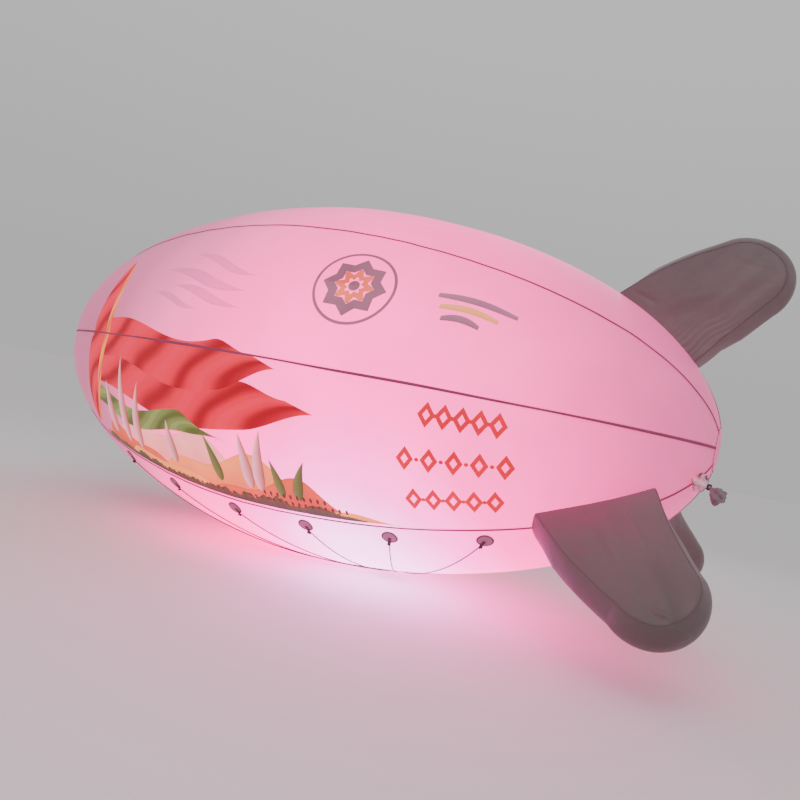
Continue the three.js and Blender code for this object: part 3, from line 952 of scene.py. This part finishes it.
def fin(name, degrees, front, back, tip_place, panels, bows, drawn, gathered):
    angle = radians(degrees)
    tip = Vector(tip_place)
    edges = (fin_edge(front, tip, 1), fin_edge(back, tip, -1))
    mesh = fin_core(angle, edges, tip, bows, drawn)
    mesh = filled_with_air(mesh)
    work = bmesh.new()
    work.from_mesh(mesh)
    ways = {f"use_axis_{way}": True for way in "xyz"}
    ops.smooth_vert(work, verts=work.verts[:], factor=0.5, **ways)
    ops.subdivide_edges(work, edges=work.edges[:], cuts=1, use_grid_fill=True, smooth=0.8)
    work.normal_update()
    cosine, sine = cos(angle), sin(angle)
    moves = []
    for vert in work.verts:
        flat = Vector((-vert.co.x, vert.co.y * cosine + vert.co.z * sine))
        height = -vert.co.y * sine + vert.co.z * cosine
        rise = gathered * root_gathers(flat, height, edges[1]) + soft_folds(flat, height, edges[1])
        moves.append(vert.normal * (rise - creases(name, flat, height)))
    for vert, move in zip(work.verts, moves):
        vert.co += move
    inner = [vert for vert in work.verts if above_hull(vert.co) < FIN_CUT_BELOW]
    ops.delete(work, geom=inner, context="VERTS")
    rims = [edge for edge in work.edges if edge.is_boundary]
    ops.holes_fill(work, edges=rims, sides=0)
    faced_out(work)
    surface = BVHTree.FromBMesh(work)
    nodes = [f"{name}_edge_band", *(f"{name}_{panel}_panel" for panel in panels)]
    pillow = piece(f"{name}_pillow", work, fin_cloth_painted_light, nodes)
    outline = fin_outline(edges, tip, FIN_SEAM_STEPS)
    path = []
    for first, second in zip(outline, outline[1:]):
        steps = max(1, round((second - first).length / FIN_SEAM_LENGTH))
        path += [first.lerp(second, step / steps) for step in range(steps)]
    path.append(outline[-1])
    for panel, side in zip(panels, (-1, 1)):
        spots = []
        for flat in path:
            shaped, height = fin_shape(flat, side * FIN_HALF, edges, tip, bows, drawn)
            hit = surface.find_nearest(fin_point(angle, shaped, height))
            spots.append(hit[0] + hit[1] * FIN_SEAM_LIFT)
        piece(f"{name}_{panel}_seam", tube(spots, FIN_SEAM_RADIUS, 8), fin_seam_cloth)


for fin_row in FINS:
    fin(*fin_row)


# Load patches, their tabs and the bridle lines


TETHER_X = -0.83
RING_RADIUS = 0.04
RING_WIRE = 0.005
LINE_LIFT = 0.0082
LINE_RADIUS = 0.0033
LINE_STEPS = 56
PATCH_PLACES = [1.29, 0.685, 0.055, -0.53, -1.115, -1.685]
PATCH_BELOW_SEAM = 0.095
PATCH_RADIUS = 0.055
PATCH_WALL = 0.0015
# Lift of the net, of the welded rim from its share of the radius on, and of the edge.
PATCH_NET = 0.0022
PATCH_RIM = (0.78, 0.0032)
PATCH_EDGE = (0.995, -0.001)
TAB_WIDTH = 0.02
TAB_WALL = 0.0016
# The strap of a tab, as distance from the middle of its patch and height over it.
TAB_PATH = [
    (0.004, 0.003), (0.02, 0.0035), (0.036, 0.004), (0.047, 0.007), (0.0535, 0.014), (0.054, 0.021),
    (0.051, 0.025), (0.047, 0.0235), (0.044, 0.017), (0.038, 0.0095), (0.028, 0.0066), (0.014, 0.0058),
]
TAB_EYE = (0.051, 0.0135)
KNOT_TURNS = 3
KNOT_START = 0.004
KNOT_STEP = 0.0045
KNOT_RADIUS = 0.0055
KNOT_TWIST = 0.0008
KNOT_SIDES = 16
KNOT_CORD = 0.0022


def axis_foot(x):
    """Where the hull's normal at a place along it meets the axis."""
    along, out = hull_normal(x)
    return x - hull_radius(x) * along / out


def hull_point_from(middle, way, lift):
    """The point over the hull straight out from a place on the axis, by halving the reach."""
    low, high = 0.0, 4.0
    for _ in range(40):
        reach = (low + high) / 2
        if hypot(way.y, way.z) * reach < hull_radius(middle + way.x * reach):
            low = reach
        else:
            high = reach
    return skin_point(middle + way.x * low, atan2(way.z, way.y), lift)


def line_point(start, share):
    """A place on a bridle line from its patch to the tether ring, its share from 0 to 1."""
    end = hull_point(TETHER_X, KEEL)
    middle = (axis_foot(start.x) + axis_foot(TETHER_X)) / 2
    way = start.lerp(end, share) - Vector((middle, 0, 0))
    return hull_point_from(middle, way, LINE_LIFT)


def load_patch(side, number, x):
    sign = SIDES[side]
    seam_angle = radians(-45 if sign > 0 else -135)
    angle = seam_angle - sign * PATCH_BELOW_SEAM / hull_radius(x)
    start = hull_point(x, angle)
    out = (hull_point(x, angle, 1) - start).normalized()
    way = line_point(start, 0.1) - start
    way = (way - out * way.dot(out)).normalized()
    across = out.cross(way)

    def cloth_place(u, v):
        turn = FULL_TURN * v
        reach = PATCH_RADIUS * u
        spot = start + way * reach * cos(turn) + across * reach * sin(turn)
        lift = PATCH_RIM[1] if u > PATCH_RIM[0] else PATCH_NET
        lift = PATCH_EDGE[1] if u > PATCH_EDGE[0] else lift
        return skin_point(spot.x, atan2(spot.z, spot.y), lift)

    disc = wrapped(14, 48, cloth_place, closed=True)
    label = f"{side}_patch_{number}"
    piece(f"{label}_disc", disc, patch_net, [label], PATCH_WALL)

    def strap_place(u, v):
        last = len(TAB_PATH) - 1
        step = min(int(u * last), last - 1)
        share = u * last - step
        reach, rise = (
            low * (1 - share) + high * share for low, high in zip(TAB_PATH[step], TAB_PATH[step + 1])
        )
        return start + way * reach + out * rise + across * (v - 0.5) * TAB_WIDTH

    strap = wrapped(33, 4, strap_place)
    piece(f"{label}_tab", strap, webbing, (), TAB_WALL)

    length = (hull_point(TETHER_X, KEEL) - start).length
    first = (PATCH_RADIUS - 0.004) / length
    last = 1 - (RING_RADIUS + RING_WIRE + 0.0005) / length
    path = [line_point(start, first + (last - first) * step / LINE_STEPS) for step in range(LINE_STEPS + 1)]
    path[0] = start + way * TAB_EYE[0] + out * TAB_EYE[1]
    line = tube(path, LINE_RADIUS, 10)
    turns = [FULL_TURN * k / KNOT_SIDES for k in range(KNOT_SIDES + 1)]
    for loop in range(KNOT_TURNS):
        middle = path[0] + way * (KNOT_START + KNOT_STEP * loop)
        knot = [
            middle + KNOT_RADIUS * (across * cos(turn) + out * sin(turn))
            + way * KNOT_TWIST * sin(2 * turn)
            for turn in turns
        ]
        tube(knot, KNOT_CORD, 8, line)
    piece(f"{side}_line_{number}_cord", line, line_cord, [f"{side}_line_{number}"])


for side in SIDES:
    for number, x in enumerate(PATCH_PLACES, 1):
        load_patch(side, number, x)


def tether_ring():
    middle = hull_point(TETHER_X, KEEL, LINE_LIFT)
    out = hull_point(TETHER_X, KEEL, LINE_LIFT + 1) - middle
    work = bmesh.new()
    place = Matrix.Translation((RING_RADIUS, 0, 0)) @ Matrix.Rotation(pi / 2, 4, "X")
    section = circle(work, 16, RING_WIRE, place, False)
    ring = spun(work, section + edges_of(section), 72, standing(middle, out))
    piece("tether_ring_wire", ring, ring_metal, ["tether_ring"])


tether_ring()


# Filling sleeve, its tie and its slack end


SLEEVE_X = -x_at_radius(0.315)
SLEEVE_ANGLE = radians(-41)
NECK_END = 0.1
NECK_RADIUS = 0.0135
GATHERED_STEPS = 84
# Rows of height and radius from the foot to the end.
BUD_ROWS = [
    (-0.02, 0.0), (-0.02, 0.03), (0.002, 0.03), (0.012, 0.037), (0.024, 0.043), (0.036, 0.046),
    (0.05, 0.045), (0.062, 0.039), (0.072, 0.029), (0.08, 0.019), (0.088, NECK_RADIUS),
    (NECK_END, 0.0125), (NECK_END, 0.0),
]
SLACK_ROWS = [
    (-0.004, 0.0), (-0.002, 0.0115), (0.01, 0.013), (0.018, 0.021), (0.03, 0.033), (0.046, 0.041),
    (0.064, 0.044), (0.082, 0.041), (0.096, 0.032), (0.106, 0.018), (0.108, 0.0),
]
TIE_TURNS = 3
TIE_STEPS = 72
TIE_CORD = 0.0024
TIE_REACH = NECK_RADIUS + 0.0035
TIE_START = NECK_END - 0.0145
TIE_LENGTH = 0.0125


def crumpled(work, place, fold, depth, count):
    """Pleats around a turned body, broken up by noise, in the body's own frame."""
    back = place.inverted()
    for vert in work.verts:
        local = back @ vert.co
        turn = atan2(local.y, local.x)
        reach = hypot(local.x, local.y)
        if reach < SAME_POINT:
            continue
        pleat = sin(count * turn + 3.0 * noise.noise(local * 9))
        crease = abs(noise.noise(Vector((local.x, local.y, local.z * 0.6)) * 30)) * 2 - 0.6
        grown = 1 + fold * pleat * min(reach / 0.04, 1) + depth * crease
        vert.co = place @ Vector((local.x * grown, local.y * grown, local.z + 0.006 * crease))


def profile_curve(rows, steps):
    """(radius, height) pairs from rows of (height, radius), with points added evenly between them."""
    points = []
    for (low, near), (high, far) in zip(rows, rows[1:]):
        for step in range(steps):
            share = step / steps
            points.append((between((near, far), share), between((low, high), share)))
    points.append((rows[-1][1], rows[-1][0]))
    return points


def gathered_cloth(name, rows, place, pleats, finish, stands_for):
    work = turned(profile_curve(rows, 3), GATHERED_STEPS, place)
    crumpled(work, place, *pleats)
    piece(name, work, finish, [stands_for], 0, 1)


def filling_sleeve():
    foot = hull_point(SLEEVE_X, SLEEVE_ANGLE)
    out = (hull_point(SLEEVE_X, SLEEVE_ANGLE, 1) - foot).normalized()
    place = standing(foot, out)
    gathered_cloth("filling_sleeve_bud", BUD_ROWS, place, (0.26, 0.42, 6), sleeve_cloth_painted_light, "filling_sleeve")

    coil = []
    for k in range(TIE_STEPS + 1):
        turn = TIE_TURNS * FULL_TURN * k / TIE_STEPS
        spot = Vector((TIE_REACH * cos(turn), TIE_REACH * sin(turn), 0))
        coil.append(place @ (spot + Vector((0, 0, TIE_START + TIE_LENGTH * k / TIE_STEPS))))
    piece("sleeve_tie_cord", tube(coil, TIE_CORD, 8), line_cord, ["sleeve_tie"])

    start = foot + out * (NECK_END + 0.0005)
    way = (out * 0.94 + Vector((0, 0, -0.34))).normalized()
    slack_place = standing(start, way)
    pleats = (0.12, 0.34, 5)
    gathered_cloth("sleeve_slack_bundle", SLACK_ROWS, slack_place, pleats, slack_cloth, "sleeve_slack_end")


filling_sleeve()


# Printed pattern: waving ribbons, dunes over a hedge, a star rosette, bars and rows of lozenges


PRINT_LIFT = 0.0016
PRINT_LAYER = 0.0003
PRINT_THICKNESS = 0.00025


def printed(side, columns, rows, place, layer=0, closed=False):
    """Ink on the cloth: place(u, v) gives a place along the hull and degrees above its side."""

    def on_hull(u, v):
        x, degrees = place(u, v)
        angle = radians(degrees if SIDES[side] > 0 else 180 - degrees)
        return skin_point(x, angle, tape_rise(x, angle) + PRINT_LIFT + PRINT_LAYER * layer)

    work = wrapped(columns, rows, on_hull)
    if closed:
        merged(work)
    return work


def motif(side, name, ink, work):
    finish = INKS[ink]
    piece(f"{side}_print_{name}", work, finish, (), PRINT_THICKNESS, 0, 1)


def joined(works):
    whole = bmesh.new()
    for work in works:
        mesh = mesh_of("part", work)
        whole.from_mesh(mesh)
        bpy.data.meshes.remove(mesh)
    return whole


def stroke_swell(share, tip, power):
    """The swell of a stroke along its length, thin at both tips."""
    return sin(pi * (tip + (1 - 2 * tip) * share)) ** power


def around(x, degrees, radius, turn, along, up):
    """A place around a middle, with its reach along the hull and up its side in metres."""
    return x + along * cos(turn), degrees + in_degrees(up * sin(turn) / radius)


# Columns: name, ink, ends along the hull, middle and half width in degrees at both ends, swing,
# turns, phase.
RIBBONS = [
    ("red_lower", "red_silk", (1.46, -0.6), (-15.0, -14.0), (5.8, 6.4), 2.6, 1.05, 1.3),
    ("red_upper", "red_silk", (1.46, -0.3), (-3.0, -3.6), (7.0, 6.6), 2.4, 1.15, 0.4),
    ("green", "green_silk", (1.5, 0.05), (-25.0, -24.0), (3.4, 3.0), 2.2, 1.2, 1.9),
]
RIBBON_LEAN = 0.1


def ribbons(side):
    for layer, (name, ink, ends, middles, halves, swing, turns, phase) in enumerate(RIBBONS):
        def place(u, v):
            middle = between(middles, u) + swing * sin(FULL_TURN * turns * u + phase)
            half = between(halves, u) * (1 - eased(0.78, 1.0, u) * 0.8)
            lean = RIBBON_LEAN * (2 * v - 1) * eased(0.6, 1.0, u)
            return between(ends, u) + lean, middle + half * (2 * v - 1)

        motif(side, name, ink, printed(side, 130, 18, place, layer))


# Columns: name, ink, middle offset and width at the widest, layer.
SWEEPS = [
    ("red", "red_silk", 0.0, 0.22, 3),
    ("amber", "amber_silk", -0.15, 0.06, 4),
]
SWEEP_TOP = 31
SWEEP_SPAN = 70


def nose_sweep(side):
    """The red and amber sweep that rounds the nose."""
    for name, ink, offset, width, layer in SWEEPS:
        def place(u, v):
            swell = stroke_swell(u, 0.004, 0.6)
            middle = 1.44 + 0.2 * u * u + 0.05 * sin(pi * u)
            return middle + offset * swell + width * (v - 0.5) * swell, SWEEP_TOP - SWEEP_SPAN * u

        motif(side, f"sweep_{name}", ink, printed(side, 110, 9, place, layer))


PRINT_FOOT = -45.0 + 1.2
# Columns: name and ink, ends along the hull, seed, height in degrees, waves per metre.
DUNES = [
    ("blush", (1.45, -0.8), 0.3, 19.0, 2.6),
    ("sand", (1.5, -0.98), 1.9, 15.0, 3.1),
    ("terracotta", (1.52, -1.1), 3.6, 10.5, 3.7),
    ("amber", (1.2, -1.22), 5.6, 5.8, 3.3),
]
DUNE_LEAST = 0.1
HEDGE_START = 1.5
HEDGE_LENGTH = 2.5
HEDGE_LAYER = 5


def dune_height(x, seed, tall, long):
    return tall * (0.55 + 0.45 * sin(x * long + seed) + 0.18 * sin(x * long * 2.7 + seed * 2))


def dunes(side):
    for layer, (name, ends, seed, tall, long) in enumerate(DUNES):
        def place(u, v):
            x = between(ends, u)
            taper = eased(0.0, 0.08, u) * (1 - eased(0.8, 1.0, u))
            return x, PRINT_FOOT + max(dune_height(x, seed, tall, long) * taper, DUNE_LEAST) * v

        motif(side, f"dune_{name}", name, printed(side, 160, 9, place, layer))

    def hedge_place(u, v):
        x = HEDGE_START - HEDGE_LENGTH * u
        broad = abs(noise_at(x * 7, 0.3, SIDES[side]))
        fine = abs(noise_at(x * 30, 1.3, SIDES[side]))
        leaf_size = 0.3 + broad + 0.5 * fine
        return x, PRINT_FOOT + (0.6 + 4.0 * leaf_size * (1 - eased(0.9, 1.0, u))) * v

    motif(side, "hedge", "hedge", printed(side, 420, 4, hedge_place, HEDGE_LAYER))


# Columns: place along the hull, foot in degrees, length in degrees, half width, lean.
PALE_LEAVES = [
    (1.27, -37.0, 20.0, 0.055, 0.05),
    (1.08, -38.0, 31.0, 0.05, 0.02),
    (0.92, -38.0, 24.0, 0.05, -0.06),
    (0.5, -37.0, 14.0, 0.045, 0.03),
    (-0.2, -38.0, 17.0, 0.045, 0.05),
    (-0.28, -38.0, 19.0, 0.045, -0.04),
]
GREEN_LEAVES = [
    (0.06, -38.0, 14.0, 0.04, 0.1),
    (-0.44, -39.0, 12.0, 0.035, 0.06),
    (-0.56, -39.0, 13.0, 0.038, -0.07),
]
LEAF_LAYER = 3
# Columns: first and last place along the hull, degrees above the side, number of beads.
BEADS = [
    (0.62, -0.02, -41.4, 14),
    (-0.12, -0.88, -40.6, 17),
    (-0.3, -0.74, -38.2, 10),
]
BEAD_SIZE = (0.009, 0.02)
BEAD_LAYER = 6


def leaf(side, x, foot, length, half_width, lean, layer):
    """One blade, from its foot up the side, widest a third of the way."""

    def place(u, v):
        width = half_width * sin(pi * u**0.6) ** 0.9 * (2 * v - 1)
        return x + lean * u * u + width, foot + length * u

    return printed(side, 30, 6, place, layer)


def leaves_and_beads(side):
    pale = [leaf(side, *row, LEAF_LAYER + number % 2) for number, row in enumerate(PALE_LEAVES)]
    motif(side, "pale_leaves", "pale_leaf", joined(pale))
    green = [leaf(side, *row, LEAF_LAYER) for row in GREEN_LEAVES]
    motif(side, "green_leaves", "leaf_green", joined(green))
    beads = []
    for first, last, degrees, count in BEADS:
        for number in range(count):
            middle = first + (last - first) * number / (count - 1)

            def place(u, v):
                along, up = BEAD_SIZE[0] * u, BEAD_SIZE[1] * u
                return around(middle, degrees, hull_radius(middle), FULL_TURN * v, along, up)

            beads.append(printed(side, 2, 16, place, BEAD_LAYER, closed=True))
    motif(side, "beads", "bead_brown", joined(beads))


ROSETTE_PLACE = (-0.74, 24.0)
ROSETTE_RADIUS = 1.28
STAR_SIZE = 0.15


def square_reach(turn, lean):
    return STAR_SIZE / cos((turn + lean) % (pi / 2) - pi / 4)


def star_reach(turn):
    return max(square_reach(turn, 0.0), square_reach(turn, pi / 4))


# Columns: name, reach at each turn, share of it where the ink starts, ink.
ROSETTE = [
    ("outer", lambda turn: 0.265, 0.93, "rosette_grey"),
    ("star", star_reach, 0.62, "rosette_grey"),
    ("petals", lambda turn: 0.105 * (1 + 0.2 * cos(8 * turn)), 0.5, "rosette_tan"),
    ("middle", lambda turn: 0.036, 0.0, "rosette_grey"),
]


def star_rosette(side):
    """An eight-pointed star of two crossed squares in a ring, with petals and a small disc."""
    for name, reach_at, inner, ink in ROSETTE:
        def place(u, v):
            turn = FULL_TURN * v
            reach = reach_at(turn) * between((inner, 1.0), u)
            return around(*ROSETTE_PLACE, ROSETTE_RADIUS, turn, reach, reach)

        motif(side, f"rosette_{name}", ink, printed(side, 5, 96, place, closed=True))


# Columns: ink, start along the hull, length, degrees above the side.
BARS = [
    ("bar_grey", -1.25, 0.46, 27.5),
    ("bar_gold", -1.28, 0.34, 23.9),
    ("bar_grey", -1.31, 0.22, 20.3),
]
BAR_HALF_WIDTH = 1.15
BAR_BEND = 1.2


def three_bars(side):
    for number, (ink, start, length, degrees) in enumerate(BARS, 1):
        def place(u, v):
            half = BAR_HALF_WIDTH * stroke_swell(u, 0.12, 0.5)
            return start - length * u, degrees + half * (2 * v - 1) + BAR_BEND * sin(pi * u)

        motif(side, f"bar_{number}", ink, printed(side, 40, 4, place))


# Columns: degrees above the side, ends along the hull, number of lozenges.
LOZENGE_ROWS = [
    (-7.5, (-1.32, -1.8), 5),
    (-20.5, (-1.2, -1.88), 5),
    (-33.0, (-1.26, -1.82), 5),
]
LOZENGE_SIZE = (0.05, 0.075)
LOZENGE_HOLLOW = 0.42
DOT_RADIUS = 0.012


def lozenge_reach(turn):
    return 1 / (abs(cos(turn)) / LOZENGE_SIZE[0] + abs(sin(turn)) / LOZENGE_SIZE[1])


def lozenge_rows(side):
    """Three rows of plain lozenges, with a dot between each two."""
    works = []
    for degrees, (near, far), count in LOZENGE_ROWS:
        step = (far - near) / count
        for k in range(2 * count - 1):
            hollow = LOZENGE_HOLLOW if k % 2 == 0 else 0.0
            middle = near + step * (k + 1) / 2

            def place(u, v):
                turn = FULL_TURN * v
                reach = lozenge_reach(turn) if hollow else DOT_RADIUS
                reach *= between((hollow, 1), u)
                return around(middle, degrees, hull_radius(middle), turn, reach, reach)

            works.append(printed(side, 4, 32, place, closed=True))
    motif(side, "lozenges", "lozenge_red", joined(works))


# Faint strokes like wind lines over the ribbons. Columns: middle along the hull, degrees above the
# side, half length, bend in degrees, half width in degrees.
WIND_STROKES = [
    (0.3, 26.0, 0.34, 3.6, 1.5),
    (0.42, 20.5, 0.42, 3.2, 1.9),
    (0.34, 15.0, 0.36, 2.8, 1.5),
    (0.62, 13.0, 0.26, 2.4, 1.1),
]


def wind_strokes(side):
    works = []
    for middle, degrees, half_length, bend, half_width in WIND_STROKES:
        def place(u, v):
            share = 2 * u - 1
            rise = bend * share * (2 - abs(share))
            width = half_width * stroke_swell(u, 0.02, 1.2)
            return middle + half_length * share, degrees + rise + width * (2 * v - 1)

        works.append(printed(side, 60, 4, place))
    motif(side, "wind_strokes", "wind_grey", joined(works))


PRINTS = (ribbons, nose_sweep, dunes, leaves_and_beads, star_rosette, three_bars, lozenge_rows, wind_strokes)
for side in SIDES:
    for draw in PRINTS:
        draw(side)


# Floor and lights


FLOOR_SIZE = 1600
FLOOR_DROP = 0.0015
FLOOR_COLOUR = (0.82, 0.81, 0.81, 1)
HORIZON_TONE = (0.535, 0.52, 0.522)
ZENITH_TONE = (0.7, 0.68, 0.685)
# Columns: name, place, aim, size, power.
LIGHTS = [
    ("key", (-2.5, 6.0, 5.0), (0, 0, 0), 5.0, 130.0),
    ("fill", (5.0, 5.0, 2.0), (0.5, 0, 0), 4.0, 40.0),
    ("rim", (-1.0, -6.0, 4.5), (0, 0, 0.4), 5.0, 60.0),
]


def studio():
    work = bmesh.new()
    ops.create_grid(work, x_segments=2, y_segments=2, size=FLOOR_SIZE / 2)
    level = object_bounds()[0][2] - FLOOR_DROP
    ops.translate(work, vec=(0, 0, level), verts=work.verts[:])
    mesh = mesh_of("floor", work)
    finish, tree, shader = new_finish("floor_paint", 0.85)
    set_up(tree, shader, Base_Color=FLOOR_COLOUR)
    mesh.materials.append(finish)
    floor = in_scene("floor", mesh)
    floor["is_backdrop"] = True

    world = bpy.data.worlds.new("studio")
    world.use_nodes = True
    tree = world.node_tree
    stops = [(0.0, HORIZON_TONE), (0.12, HORIZON_TONE), (0.6, ZENITH_TONE)]
    sky = ramp(tree, one_axis(tree, "Generated", "Z"), stops)
    set_up(tree, tree.nodes["Background"], Color=sky)
    scene.world = world

    for name, place, aim, size, power in LIGHTS:
        lamp = bpy.data.lights.new(name, "AREA")
        lamp.size = size
        lamp.energy = power
        light = in_scene(name, lamp)
        light.location = place
        light.rotation_euler = (Vector(aim) - Vector(place)).to_track_quat("-Z", "Y").to_euler()


studio()
